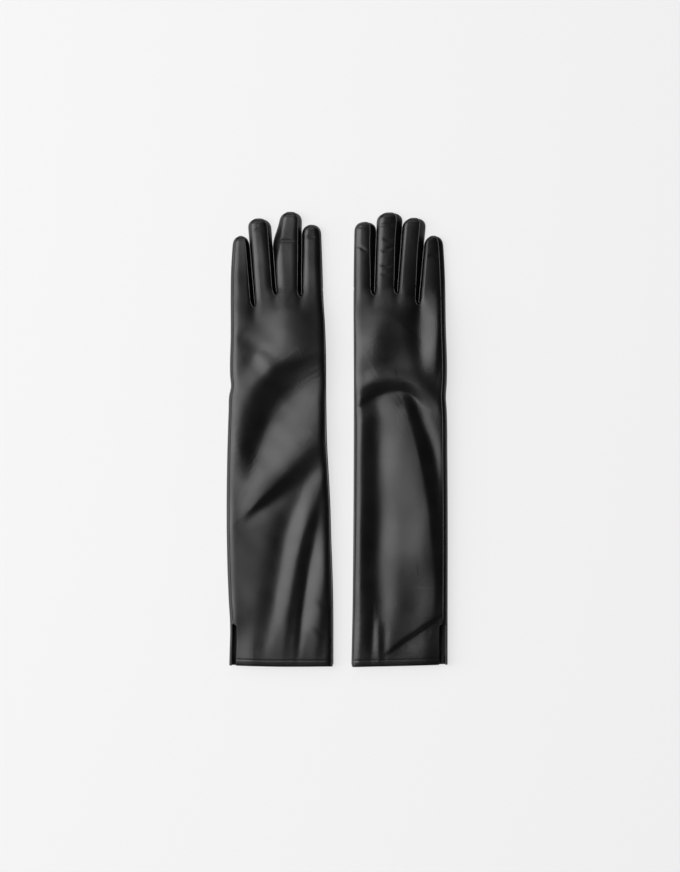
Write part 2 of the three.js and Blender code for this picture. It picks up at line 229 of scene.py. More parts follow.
# %% Where the seams lie inside the silhouette
VENT_EASE = 5
SEAM_DRIFT = 60
NARROW_SHARE = 0.45
NARROW_ROW = 204
NARROW_SPAN = 15


def seam_insets(glove, i, v):
    """How far inside the silhouette the two seams of lane i lie. `finger_seams` holds the inner seam's
    inset, then the outer seam's at the fork and at the tip. Each glove lies rolled a little to one side,
    so one seam of a finger lies further in than the other."""
    inner = np.zeros_like(v)
    slit = 1 - smoothstep(VENT_TOP - VENT_EASE, VENT_TOP, v)
    outer = glove["side_seam"] + (glove["vent"] - glove["side_seam"]) * slit
    if i > 0:
        inner = glove["finger_seams"][0] * opening(glove, i - 1, v)
    if i < 3:
        fork = glove["forks"][i][1]
        _, at_fork, at_tip = glove["finger_seams"]
        drift = smoothstep(fork, fork + SEAM_DRIFT, v)
        outer = (at_fork + (at_tip - at_fork) * drift) * opening(glove, i, v)
        narrowing = np.exp(-((v - NARROW_ROW) / NARROW_SPAN) ** 2)
        outer = outer + NARROW_SHARE * glove["narrow"][i] * narrowing
    shrink = tip_round(glove, i, v)
    return inner * shrink, outer * shrink


print("seam inset at the right hem:", float(seam_insets(GLOVES["right"], 3, np.float64(HEM))[1]), "mm")


# %% How full the glove is at each point
HAND_END = (168, 130)
FURROW_DEPTH = 0.14
FURROW_WIDTH = 5
FURROW_FROM = 24
FURROW_TO = 2


def fullness(glove, i, u, v):
    """Share of full height at (u, v): quarter ellipses at the sides and the tip, a furrow at each fork.
    The two sides of a finger are rounded by their own share of its width."""
    inner, outer = silhouette(glove, i, v)
    hand = smoothstep(*HAND_END, v)
    share = crown(glove["tips"][i] - v, TIP_ROUNDING)
    for k, distance, part in ((i - 1, u - inner, "round_inner"), (i, outer - u, "round_outer")):
        tube = glove[part][i] * (outer - inner)
        if k in (-1, 3):
            share = share * crown(distance, tube + (SIDE_ROUNDING - tube) * hand, 2 + hand)
            continue
        fork_u, fork = glove["forks"][k]
        furrow = np.exp(-((u - fork_u) / FURROW_WIDTH) ** 2)
        furrow = 1 - FURROW_DEPTH * furrow * smoothstep(fork - FURROW_FROM, fork - FURROW_TO, v)
        parted = smoothstep(fork - FORK_SLIT, fork + SLIT_ROUNDING, v)
        share = share * ((1 - parted) * furrow + parted * crown(distance, tube))
    return share


print("middle finger:", round(float(np.diff(silhouette(GLOVES["right"], 1, 190.0))[0]), 1), "mm wide")


# %% [markdown]
# ## Folds
# Thin leather that has been worn or packed keeps long soft folds. Each one here is a stroke: a smooth
# line, a height, and a width on either side of it. Where one width is small the fold has a
# sharp side, where it is large the leather rolls away gently. A negative height is a valley. The same
# could be had from a cloth simulation, but then nobody could say where a fold falls.

# %% The height of one stroke
LINE_STEPS = 12
STROKE_REACH = 3
FADE_IN = (-0.05, 0.35)
FADE_OUT = (1.05, 0.65)
SIDE_BLEND = 0.8


def stroke_height(points, before, after, height, x, y):
    """height·exp(-(d/w)²): d is the distance to the line, w is `before` on the west of a line drawn
    southwards and `after` on its east. A pair of widths goes from the line's start to its end. Height
    and width both fade out towards the ends."""
    points = np.array(points, float)
    steps = np.linspace(0, len(points) - 1, LINE_STEPS * len(points))
    knots = np.arange(len(points))
    line = np.stack([through(np.column_stack([knots, points[:, k]]), steps) for k in (0, 1)], axis=1)
    tangent = np.gradient(line, axis=0)
    tangent /= np.linalg.norm(tangent, axis=1)[:, None]
    before, after = np.broadcast_to(before, 2), np.broadcast_to(after, 2)
    reach = STROKE_REACH * max(*before, *after)
    low, high = line.min(0) - reach, line.max(0) + reach
    near = (x > low[0]) & (x < high[0]) & (y > low[1]) & (y < high[1])
    px, py = x[near], y[near]
    gap_x, gap_y = px[:, None] - line[:, 0], py[:, None] - line[:, 1]
    square = gap_x**2 + gap_y**2
    nearest = square.argmin(1)
    pick = np.arange(len(px))
    side = -tangent[nearest, 1] * gap_x[pick, nearest] + tangent[nearest, 0] * gap_y[pick, nearest]
    along = nearest / (len(line) - 1)
    fade = smoothstep(*FADE_IN, along) * smoothstep(*FADE_OUT, along)
    west = before[0] + (before[1] - before[0]) * along
    east = after[0] + (after[1] - after[0]) * along
    width = (west + (east - west) * smoothstep(-SIDE_BLEND, SIDE_BLEND, side)) * (0.5 + 0.5 * fade)
    past_end = (nearest == 0) | (nearest == len(line) - 1)
    distance = np.where(past_end, square[pick, nearest], side**2)
    out = np.zeros_like(x)
    out[near] = height * fade * np.exp(-distance / width**2)
    return out


ON_THE_LINE = stroke_height([(0, 0), (0, 50), (0, 100)], 5, 5, 2.0, np.zeros(1), np.full(1, 50.0))
print("a 2 mm stroke, halfway along its line:", round(float(ON_THE_LINE[0]), 2), "mm")


# %% The folds: line in x and y, width before, width after, height
FOLDS = {
    "left": [
        ([(-50, 165), (-53, 118), (-55, 70)], 20, 27, 2.3),
        ([(-108, 110), (-91, 100), (-66, 86)], 8, 8, -0.6),
        ([(-82, 92), (-73, 80), (-60, 66)], 7, 8, 0.5),
        ([(-96, 88), (-85, 76), (-74, 60)], 8, 8, -0.5),
        ([(4, 96), (-48, 82), (-77, 66), (-94, 36), (-99, 0), (-101, -46)], 16, 14, 2.4),
        ([(6, 74), (-38, 48), (-64, 24), (-80, -4), (-92, -46)], 13, 20, -3.0),
        ([(-14, 72), (-44, 60), (-66, 40), (-78, 18)], 15, 10, -1.5),
        ([(20, 30), (-26, -2), (-52, -30), (-77, -57), (-98, -80)], 22, (22, 3.5), 2.7),
        ([(4, -14), (-34, -38), (-56, -56), (-76, -70), (-99, -89)], (16, 3), 10, -0.7),
        ([(-8, -20), (-26, -70), (-37, -98), (-43, -126), (-50, -166), (-58, -236)], 12, 7, 1.4),
        ([(-22, -18), (-44, -68), (-55, -104), (-62, -146), (-71, -188), (-80, -240)], 12, 10, -1.5),
        ([(-20, -76), (-27, -116), (-32, -146), (-37, -182), (-43, -240)], 5, 7, -1.4),
        ([(-10, -84), (-14, -140), (-19, -184), (-24, -240)], 11, 6, 1.2),
        ([(-26, -192), (-14, -204), (0, -208)], 3, 3, -0.5),
        ([(-24, -162), (-13, -172), (0, -178)], 3, 3, -0.4),
        ([(-104, 190), (-103, 130), (-105, 50), (-107, -40)], 6, 12, 0.9),
    ],
    "right": [
        ([(92, 150), (58, 133), (46, 116), (40, 94), (36, 60)], 20, 23, 2.7),
        ([(88, 158), (83, 126), (83, 94), (88, 62)], 9, 9, -1.5),
        ([(101, 156), (102, 112), (100, 62)], 9, 4, 1.5),
        ([(110, 16), (100, 40), (84, 56), (64, 63), (44, 62), (28, 56), (13, 46)], 10, 8, 1.9),
        ([(96, 24), (78, 42), (60, 48), (42, 44), (27, 35), (13, 24)], 6, 12, -2.2),
        ([(23, 60), (23, -20), (23, -120), (22, -250)], 6, 11, 1.4),
        ([(41, 60), (42, -20), (42, -120), (42, -180), (36, -250)], 12, 14, -2.0),
        ([(62, 60), (73, 20), (83, -22), (91, -62), (96, -110), (99, -150), (97, -200)], 26, 8, 3.6),
        ([(72, 58), (86, 20), (97, -10), (105, -56)], 5, 8, -1.5),
        ([(116, -176), (87, -199), (70, -211), (44, -230)], 3, 18, -1.7),
        ([(36, -166), (35, -200), (34, -240)], 4, 3, -0.5),
        ([(42, -180), (42, -210), (42, -240)], 3.5, 2.6, 0.45),
        ([(49, -186), (48, -210), (47, -240)], 3, 4, -0.4),
    ],
}
print("folds:", {side: len(FOLDS[side]) for side in FOLDS})

# %% The small creases across the fingers, in the same form
CREASES = {
    "left": [
        ([(-40, 203), (-53, 205), (-66, 203)], 1.2, 1.6, -0.75),
        ([(-21, 207), (-28, 209), (-35, 208)], 1.2, 1.6, -0.6),
        ([(-72, 214), (-82, 216), (-90, 213)], 1.2, 1.6, -0.4),
    ],
    "right": [
        ([(40, 219), (50, 221), (62, 219)], 1.1, 1.8, -0.6),
        ([(42, 209), (52, 206), (62, 208)], 1.1, 1.6, -0.55),
        ([(40, 198), (49, 195), (60, 200)], 1.1, 1.8, -0.5),
        ([(40, 182), (50, 179), (60, 181)], 1.1, 1.8, -0.55),
        ([(41, 172), (50, 170), (58, 172)], 1.1, 1.6, -0.4),
        ([(18, 218), (27, 219), (37, 217)], 1.1, 1.6, -0.6),
        ([(16, 203), (23, 198), (31, 193)], 1.1, 1.8, -0.6),
        ([(92, 188), (98, 189), (106, 186)], 1.1, 1.6, -0.5),
    ],
}
print("creases:", {side: len(CREASES[side]) for side in CREASES})


# %% The leather's own unevenness, and everything added up
WAVES = 12
SHORTEST_WAVE = 18
LONGEST_WAVE = 70
RIPPLE_HEIGHT = 0.09
RIPPLE_SEEDS = {"left": 3, "right": 5, "palm": 11}


def ripple(x, y, seed):
    """A sum of sine waves in directions drawn once from the seed; a longer wave is higher in proportion."""
    rng = np.random.default_rng(seed)
    total = np.zeros_like(x)
    for _ in range(WAVES):
        length = rng.uniform(SHORTEST_WAVE, LONGEST_WAVE)
        heading = rng.uniform(0, math.pi)
        phase = rng.uniform(0, 2 * math.pi)
        along = x * math.cos(heading) + y * math.sin(heading)
        total += length / LONGEST_WAVE * np.sin(2 * math.pi * along / length + phase)
    return RIPPLE_HEIGHT * total


def fold_height(side, x, y):
    """All of one glove's strokes and its ripple, in mm."""
    total = ripple(x, y, RIPPLE_SEEDS[side])
    for points, before, after, height in FOLDS[side] + CREASES[side]:
        total = total + stroke_height(points, before, after, height, x, y)
    return total


MIDDLE = np.zeros(1)
print("ripple at the middle:", round(float(ripple(MIDDLE, MIDDLE, RIPPLE_SEEDS["left"])[0]), 2), "mm")


# %% [markdown]
# ## Panels
# A panel is a grid: rows along the arm, columns from its inner seam to its outer one. The back follows
# the top of the glove, the palm its underside and then the outer side, up to the seam on top. Modelling
# the panels by hand and subdividing them would work too, but then each fold would be a day's pushing.

# %% Rows and columns
ROW_STEP = 1.3
HEM_STEP = 0.4
HEM_REACH = 7
TIP_ROWS = 16
LEAST_STEP = 0.12
LANE_COLUMNS = 21
EDGE_CROWDING = 0.09
SLANT_TOP = -170


def rows_of(glove, i):
    """Rows of lane i: even steps, finer at the hem, and closer and closer towards the fingertip."""
    tip = glove["tips"][i]
    marks = [fork - FORK_SLIT for _, fork in glove["forks"]] + [cut_of(glove, i)]
    even = np.arange(HEM, tip - TIP_LENGTH, ROW_STEP)
    hem = HEM + np.arange(HEM_STEP, HEM_REACH, HEM_STEP)
    bend = np.linspace(0, math.pi / 2, TIP_ROWS)
    end = tip - TIP_LENGTH * (1 - np.sin(bend))
    rows = np.unique(np.round(np.concatenate([even, hem, marks, end]), 3))
    apart = np.concatenate([[True], np.diff(rows) > LEAST_STEP])
    return rows[apart | np.isin(rows, np.round(marks, 3))]


def cut_of(glove, i):
    """Row where finger i's own piece starts: a little above its higher fork."""
    beside = [glove["forks"][k][1] for k in (i - 1, i) if 0 <= k < 3]
    return max(beside) + CUT_ABOVE_FORK


def place(glove, u, v, z):
    """From the pattern to x, y, z: x is u or -u, and the hem's slant is let out below SLANT_TOP."""
    slant = through(glove["hem"], u) - HEM
    y = v + slant * smoothstep(SLANT_TOP, HEM, v)
    return np.stack(np.broadcast_arrays(glove["sign"] * u, y, z), axis=-1)


def spread_columns(count):
    """0 to 1, a little closer together at both ends."""
    s = np.linspace(0, 1, count)
    return s - EDGE_CROWDING * np.sin(2 * math.pi * s)


print("rows of the right index lane:", len(rows_of(GLOVES["right"], 0)))


# %% The back panel
STITCH_LINE = 6
STITCH_WIDTH = 0.7
STITCH_DIP = 0.25
HEM_DROP = 0.6
FOLD_SIDES = (0.15, 0.95)
HEM_CALM = 0.55
CALM_LENGTH = 25
VENT_SAG = 1.5
SAG_ACROSS = (26, 4)
SAG_ABOVE = 8
SAG_BELOW = 24


def hem_relief(v):
    """A narrow dip along the hem's stitch line, and a drop that grows as a square towards the edge."""
    dip = np.exp(-((v - HEM - STITCH_LINE) / STITCH_WIDTH) ** 2)
    return -STITCH_DIP * dip - HEM_DROP * np.clip(1 - (v - HEM) / STITCH_LINE, 0, 1) ** 2


def back_grid(side, i):
    """The back panel of lane i: z = seam + (top - seam)·fullness + folds."""
    glove = GLOVES[side]
    v = rows_of(glove, i)
    low, high = silhouette(glove, i, v)
    inset_low, inset_high = seam_insets(glove, i, v)
    s = spread_columns(LANE_COLUMNS)
    u = (low + inset_low)[:, None] * (1 - s) + (high - inset_high)[:, None] * s
    v = np.broadcast_to(v[:, None], u.shape)
    top, _, seam = levels(u, v)
    full = fullness(glove, i, u, v)
    folds = fold_height(side, glove["sign"] * u, v) * smoothstep(*FOLD_SIDES, full)
    folds = folds * (HEM_CALM + (1 - HEM_CALM) * smoothstep(HEM, HEM + CALM_LENGTH, v))
    if i == 3:
        near_vent = smoothstep(*SAG_ACROSS, high[:, None] - u)
        near_vent = near_vent * smoothstep(VENT_TOP + SAG_ABOVE, VENT_TOP - SAG_BELOW, v)
        folds = folds - VENT_SAG * near_vent
    return place(glove, u, v, seam + (top - seam) * full + folds + hem_relief(v) * full)


print("the turned hem lies", round(-float(hem_relief(HEM)), 2), "mm lower at its edge")


# %% The palm panel
PALM_RELIEF = 0.25
PALM_SIDES = (0.2, 0.9)
VENT_LAP = 1.5
LAP_EASE = 3
CLIMB_COLUMNS = 8


def palm_grid(side, i):
    """The palm panel of lane i; on the little finger's lane it climbs round the side to the top seam."""
    glove = GLOVES[side]
    v = rows_of(glove, i)
    low, high = silhouette(glove, i, v)
    inset_low, inset_high = seam_insets(glove, i, v)
    s = spread_columns(LANE_COLUMNS)
    end = high if i == 3 else high - inset_high
    u = (low + inset_low)[:, None] * (1 - s) + end[:, None] * s
    rows = np.broadcast_to(v[:, None], u.shape)
    top, bottom, seam = levels(u, rows)
    full = fullness(glove, i, u, rows)
    unevenness = ripple(glove["sign"] * u, rows, RIPPLE_SEEDS["palm"])
    soft = PALM_RELIEF * np.abs(unevenness) * smoothstep(*PALM_SIDES, full)
    flat = place(glove, u, rows, seam - (seam - bottom) * full + soft)
    if i < 3:
        return flat
    beside_vent = 1 - smoothstep(VENT_TOP - LAP_EASE, VENT_TOP, v)
    reach = inset_high - (inset_high - VENT_LAP) * beside_vent
    turn = np.linspace(0, 1, CLIMB_COLUMNS + 1)[1:] ** 2
    u = high[:, None] - reach[:, None] * turn
    rows = np.broadcast_to(v[:, None], u.shape)
    top, _, seam = levels(u, rows)
    full = fullness(glove, i, u, rows)
    return np.concatenate([flat, place(glove, u, rows, seam + (top - seam) * full)], axis=1)


print("the palm climbs round the side in", CLIMB_COLUMNS, "columns")


# %% [markdown]
# ## From grids to meshes
# Lanes that share an edge must become one smooth sheet, so equal points are welded, and the shading
# normals are worked out on the whole sheet before it is cut into the pieces that move by themselves.
# That way no line shows where a finger starts. Left to itself, Blender would shade each piece alone and
# show a crease at every cut.

# %% Faces and normals of a grid
def quads_of(rows, columns, start=0, flip=False):
    """Corner numbers of every cell of a grid, as an array of fours."""
    n = start + np.arange(rows * columns).reshape(rows, columns)
    cells = np.stack([n[:-1, :-1], n[:-1, 1:], n[1:, 1:], n[1:, :-1]], axis=-1).reshape(-1, 4)
    return cells[:, ::-1] if flip else cells


def vertex_normals(points, quads):
    """Area-weighted mean of the faces round each vertex: the cross product of their diagonals."""
    a, b, c, d = (points[quads[:, k]] for k in range(4))
    face = np.cross(c - a, d - b)
    total = np.zeros_like(points)
    for k in range(4):
        np.add.at(total, quads[:, k], face)
    return total / np.maximum(np.linalg.norm(total, axis=1), 1e-12)[:, None]


print("faces in a grid of 3 by 4 points:", len(quads_of(3, 4)))


# %% From arrays to one mesh object
def weld(grids, flips):
    """Joins grids into one sheet: (points, quads, number of first quad of each grid)."""
    points = np.concatenate([g.reshape(-1, 3) for g in grids])
    quads, starts, count = [], [], 0
    for grid, flip in zip(grids, flips):
        starts.append(sum(len(q) for q in quads))
        quads.append(quads_of(*grid.shape[:2], count, flip))
        count += grid.shape[0] * grid.shape[1]
    _, first, same = np.unique(np.round(points, 3), axis=0, return_index=True, return_inverse=True)
    return points[first], same.reshape(-1)[np.concatenate(quads)], starts


def build(name, points, quads, material, normals=None, uv=None):
    """A mesh object from points in mm, keeping only the points that its faces use."""
    used, quads = np.unique(quads, return_inverse=True)
    quads = quads.reshape(-1, 4)
    mesh = bpy.data.meshes.new(name)
    mesh.from_pydata(points[used] * MM, [], quads)
    mesh.polygons.foreach_set("use_smooth", np.ones(len(quads), bool))
    if uv is not None:
        layer = mesh.uv_layers.new(name="UVMap")
        layer.data.foreach_set("uv", uv[used][quads.reshape(-1)].astype(np.float32).ravel())
    if normals is not None:
        mesh.normals_split_custom_set_from_vertices(normals[used])
    obj = bpy.data.objects.new(name, mesh)
    bpy.context.scene.collection.objects.link(obj)
    mesh.materials.append(material)
    return obj


print("one unit of a mesh is", 1 / MM, "mm")


# %% [markdown]
# ## Materials
# The gloves are polyurethane-coated leather: a thin fabric or split hide with a smooth coat rolled onto
# it, embossed with a fine nappa grain. The coat is why they gleam in broad soft patches instead of
# sparkling. Inside is a thin knitted lining. A ready-made texture could be wrapped round them, but its
# grain would stretch at the fingertips, so the grain here is a pattern in space with its size in mm.

# %% Material helpers
def linear(hex_colour):
    """sRGB hex to linear RGB."""
    parts = [int(hex_colour[k:k + 2], 16) / 255 for k in (1, 3, 5)]
    return [c / 12.92 if c <= 0.04045 else ((c + 0.055) / 1.055) ** 2.4 for c in parts] + [1.0]


def node(tree, kind, inputs=None, **settings):
    """Adds one node, sets its properties, then sets or links its inputs."""
    made = tree.nodes.new(kind)
    for key, value in settings.items():
        setattr(made, key, value)
    for key, value in (inputs or {}).items():
        if isinstance(value, bpy.types.NodeSocket):
            tree.links.new(value, made.inputs[key])
        else:
            made.inputs[key].default_value = value
    return made


def new_material(name):
    """An empty material with its own shader and output: (material, tree, shader)."""
    material = bpy.data.materials.new(name)
    material.use_nodes = True
    tree = material.node_tree
    tree.nodes.clear()
    shader = node(tree, "ShaderNodeBsdfPrincipled")
    node(tree, "ShaderNodeOutputMaterial", {"Surface": shader.outputs["BSDF"]})
    return material, tree, shader


print("mid grey in linear light:", round(linear("#808080")[0], 3))


# %% Coated leather: near black from its pigment, half glossy from being rolled smooth
# The grain and its pores are drawn a little coarser than real ones, so that they show in a close view.
GRAIN_MM = 0.75
PORE_MM = 0.28
CLOUD_MM = 24.0
GLOSS_CHANGE = 0.035
GRAIN_DEPTH_MM = 0.05
GRAIN_BORDER = 0.25
PORE_SHARE = 0.35


def coated_leather(name, colour, roughness, specular=0.5):
    """Embossed grain as cell edges GRAIN_MM apart, pores on them, and a cloudy change of gloss."""
    material, tree, shader = new_material(name)
    spot = node(tree, "ShaderNodeTexCoord").outputs["Object"]
    grain = node(tree, "ShaderNodeTexVoronoi", {"Vector": spot, "Scale": 1 / (GRAIN_MM * MM)},
                 feature="DISTANCE_TO_EDGE")
    pores = node(tree, "ShaderNodeTexNoise", {"Vector": spot, "Scale": 1 / (PORE_MM * MM), "Detail": 2.0})
    cloud = node(tree, "ShaderNodeTexNoise", {"Vector": spot, "Scale": 1 / (CLOUD_MM * MM), "Detail": 3.0})
    gloss = node(tree, "ShaderNodeMapRange", {"Value": cloud.outputs["Fac"], "From Min": 0.3,
                 "From Max": 0.7, "To Min": roughness - GLOSS_CHANGE, "To Max": roughness + GLOSS_CHANGE})
    cells = node(tree, "ShaderNodeMapRange", {"Value": grain.outputs["Distance"], "From Max": GRAIN_BORDER})
    relief = node(tree, "ShaderNodeMix", {"Factor": PORE_SHARE, "A": cells.outputs["Result"],
                  "B": pores.outputs["Fac"]}, data_type="FLOAT")
    bump = node(tree, "ShaderNodeBump", {"Height": relief.outputs["Result"], "Strength": 0.35,
                "Distance": GRAIN_DEPTH_MM * MM})
    tint = node(tree, "ShaderNodeMix", {"Factor": cloud.outputs["Fac"]}, data_type="RGBA")
    tint.inputs["A"].default_value = linear(colour)
    tint.inputs["B"].default_value = linear("#0d0d0e")
    tree.links.new(tint.outputs["Result"], shader.inputs["Base Color"])
    tree.links.new(gloss.outputs["Result"], shader.inputs["Roughness"])
    tree.links.new(bump.outputs["Normal"], shader.inputs["Normal"])
    shader.inputs["Specular IOR Level"].default_value = specular
    return material


LEATHER = coated_leather("black_pu_coated_leather", "#060607", 0.34)
EDGE_LEATHER = coated_leather("black_leather_seam_edge", "#101011", 0.42)
# The strips between the fingers get a darker finish that mirrors little: painted shade for the crevices
# between the fingers.
STRIP_LEATHER_PAINTED_SHADE = coated_leather("black_strip_leather_painted_shade", "#050505", 0.45, specular=0.22)
print("leathers:", [m.name for m in (LEATHER, EDGE_LEATHER, STRIP_LEATHER_PAINTED_SHADE)])


# %% Knitted lining: matt, with a faint fuzz of loose fibres that catches light at a slant
RIB_MM = 0.9
RIB_DEPTH_MM = 0.15
WAVE_PERIOD = 0.314


def knitted_lining():
    """Polyester knit: ribs RIB_MM apart that run along the arm. A wave of scale 1 is WAVE_PERIOD long."""
    material, tree, shader = new_material("black_knitted_lining")
    spot = node(tree, "ShaderNodeTexCoord").outputs["Object"]
    ribs = node(tree, "ShaderNodeTexWave", {"Vector": spot, "Scale": WAVE_PERIOD / (RIB_MM * MM),
                "Distortion": 1.5, "Detail": 1.0}, bands_direction="X")
    bump = node(tree, "ShaderNodeBump", {"Height": ribs.outputs["Fac"], "Strength": 0.5,
                "Distance": RIB_DEPTH_MM * MM})
    tree.links.new(bump.outputs["Normal"], shader.inputs["Normal"])
    shader.inputs["Base Color"].default_value = linear("#17171a")
    shader.inputs["Roughness"].default_value = 0.85
    shader.inputs["Sheen Weight"].default_value = 0.2
    return material


LINING = knitted_lining()
print("lining:", LINING.name)


# %% [markdown]
# ## What moves with what
# Sleeve and hand are one panel, the gauntlet, and each finger has a piece of its own that starts where
# it still follows the hand. Leather bends gradually over a knuckle, but the helpers below only bake each
# piece's placement into its mesh. If each piece simply rode on one rigid body, the leather would gape at
# every joint.

# %% Motion helpers
PIECES = {"leather": 0, "lining": 0}


def settle(obj, slot, *nodes):
    """Hides the rigid parts that the piece stands for and counts the piece as leather or lining."""
    if nodes:
        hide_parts(*nodes)
    PIECES[slot] += 1
    return obj


def bend_at_wrist(obj):
    """Bakes the object's placement into its mesh."""
    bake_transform(obj)
    return obj


def bend_at_knuckle(obj):
    """Bakes the object's placement into its mesh."""
    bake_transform(obj)
    return obj


# %% [markdown]
# ## Backs and palms
# A back is one piece of leather from cuff to fingertips. It can't stay one mesh here, because a mesh
# bends at one joint only. So all four lanes are welded, then cut: the long gauntlet, which is sleeve and
# hand in one, and a piece for each finger. The cuts lie on shared rows, so they close at rest.

# %% Build the panels
GRIDS = {side: {"back": [back_grid(side, i) for i in range(4)],
                "palm": [palm_grid(side, i) for i in range(4)]} for side in GLOVES}


def cut_panels(side, face):
    """Welds the four lanes of one face and builds the gauntlet and the four finger pieces."""
    glove = GLOVES[side]
    grids = GRIDS[side][face]
    outwards = (face == "palm") == (side == "right")
    points, quads, starts = weld(grids, [outwards] * 4)
    normals = vertex_normals(points, quads)
    gauntlet = []
    for i, grid in enumerate(grids):
        cells = quads[starts[i]:starts[i] + (grid.shape[0] - 1) * (grid.shape[1] - 1)]
        below = np.repeat(rows_of(glove, i)[:-1] < cut_of(glove, i) - ROW_TOLERANCE, grid.shape[1] - 1)
        gauntlet.append(cells[below])
        name = f"{side}_{FINGERS[i]}_{face}"
        finger = build(name + "_leather", points, cells[~below], LEATHER, normals)
        settle(bend_at_knuckle(finger), "leather", name)
    sheet = build(f"{side}_gauntlet_{face}", points, np.concatenate(gauntlet), LEATHER, normals)
    settle(bend_at_wrist(sheet), "leather", f"{side}_sleeve_{face}", f"{side}_hand_{face}")


for side in GLOVES:
    for face in ("back", "palm"):
        cut_panels(side, face)


# %% [markdown]
# ## Side strips between the fingers
# A fourchette is a narrow strip sewn between back and palm. It runs down one finger, round the fork and
# up the next. Its section runs from the top seam out to the silhouette and back to the bottom seam. A
# Skin or Solidify modifier would only guess at that edge; a grid between the two seams meets both.

# %% The shape of a strip
STRIP_COLUMNS = 13
STRIP_SINK = 0.75
STRIP_POWER = 1.3
FOOT_FADE = 3
STRIP_NODES = {0: ("index_fork_strip_outer", "middle_fork_strip_inner", "fork_index_middle"),
               1: ("middle_fork_strip_outer", "ring_fork_strip_inner", "fork_middle_ring"),
               2: ("ring_fork_strip_outer", "little_fork_strip_inner", "fork_ring_little")}


def strip_grid(side, i, k):
    """Strip of finger i along border k. q runs from -1 at the bottom seam to 1 at the top seam. Seen
    from above, a point leaves its seam for the silhouette by the share 1 - |q|^STRIP_POWER; its height
    goes from the seam's to the middle's by |q|. The middle sinks, so the slits look deep."""
    glove = GLOVES[side]
    v = rows_of(glove, i)
    keep = v >= glove["forks"][k][1] - FORK_SLIT - ROW_TOLERANCE
    column = -1 if k == i else 0
    top = GRIDS[side]["back"][i][keep, column]
    bottom = GRIDS[side]["palm"][i][keep, column]
    v = v[keep]
    edge = silhouette(glove, i, v)[1 if k == i else 0]
    rise = FORK_SLIT * np.exp(-(v - v[0]) / FOOT_FADE) * tip_round(glove, i, v)
    sink = STRIP_SINK * opening(glove, k, v) * crown(glove["tips"][i] - v, TIP_LENGTH)
    sunk = levels(edge, v)[2] * (1 - sink)
    middle = np.stack([glove["sign"] * edge, v + rise, sunk], axis=-1)
    q = np.sin(np.linspace(-math.pi / 2, math.pi / 2, STRIP_COLUMNS))
    bulge = (1 - np.abs(q) ** STRIP_POWER)[None, :, None]
    ends = np.where(q[None, :, None] > 0, top[:, None], bottom[:, None])
    height = middle[:, None, 2:] + np.abs(q)[None, :, None] * (ends[..., 2:] - middle[:, None, 2:])
    flat = ends[..., :2] * (1 - bulge) + middle[:, None, :2] * bulge
    return np.concatenate([flat, height], axis=-1), v


print("points across a strip:", STRIP_COLUMNS)


# %% Build the strips
def build_strips(side, k):
    """Both fingers' strips at border k, and the short web at the fork that stays with the hand."""
    glove = GLOVES[side]
    grids = [strip_grid(side, i, k) for i in (k, k + 1)]
    flips = [side == "left", side == "right"]
    points, quads, starts = weld([g for g, _ in grids], flips)
    normals = vertex_normals(points, quads)
    web = []
    for n, (grid, v) in enumerate(grids):
        cells = quads[starts[n]:starts[n] + (grid.shape[0] - 1) * (grid.shape[1] - 1)]
        web_end = glove["forks"][k][1] + CUT_ABOVE_FORK - ROW_TOLERANCE
        below = np.repeat(v[:-1] < web_end, grid.shape[1] - 1)
        web.append(cells[below])
        name = f"{side}_{STRIP_NODES[k][n]}"
        # Each strip takes the darker finish that paints the shade between the fingers.
        strip = build(name + "_leather", points, cells[~below], STRIP_LEATHER_PAINTED_SHADE, normals)
        settle(bend_at_knuckle(strip), "leather", name)
    name = f"{side}_{STRIP_NODES[k][2]}"
    fork = build(name + "_leather", points, np.concatenate(web), STRIP_LEATHER_PAINTED_SHADE, normals)
    settle(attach(fork, f"{side}_hand"), "leather", name)


for side in GLOVES:
    for k in STRIP_NODES:
        build_strips(side, k)
print("borders with two strips and a web:", len(STRIP_NODES), "per glove")


# %% [markdown]
# ## Seams
# The seams are sewn face to face and turned, which leaves a fine raised edge on each side of the stitch
# line. A bevelled curve could follow the seam, but the tube worked out here lies exactly on the panels'
# own edge points, and its UV map counts the stitches along it.

# %% A tube along a path
SEAM_RADIUS = 0.5
STITCH_MM = 2.2
TAPER_POINTS = 2
BLUNT_END = 0.15
SEAM_START = 1


def tube(path, radius, sides=8):
    """A circle of radius r carried along the path P: P + r·(cos a · across + sin a · up). The radius
    grows from BLUNT_END of itself over the first points, and shrinks again over the last ones."""
    tangent = np.gradient(path, axis=0)
    tangent /= np.maximum(np.linalg.norm(tangent, axis=1), 1e-9)[:, None]
    across = np.cross(tangent, [0.0, 0.0, 1.0])
    across /= np.maximum(np.linalg.norm(across, axis=1), 1e-9)[:, None]
    up = np.cross(across, tangent)
    a = np.linspace(0, 2 * math.pi, sides + 1)
    count = np.arange(len(path))
    from_end = np.minimum(count, count[::-1])
    width = radius * np.minimum(1, from_end / TAPER_POINTS + BLUNT_END)
    ring = np.cos(a)[None, :, None] * across[:, None] + np.sin(a)[None, :, None] * up[:, None]
    length = np.concatenate([[0], np.cumsum(np.linalg.norm(np.diff(path, axis=0), axis=1))])
    uv = np.stack(np.broadcast_arrays(length[:, None] / STITCH_MM, a[None] / (2 * math.pi)), axis=-1)
    return path[:, None] + width[:, None, None] * ring, uv


print("stitches in 100 mm of seam:", round(100 / STITCH_MM))


# %% The seam's finish: the same coat, stretched over a raised edge that gleams as a fine line
PINCH_DEPTH_MM = 0.12


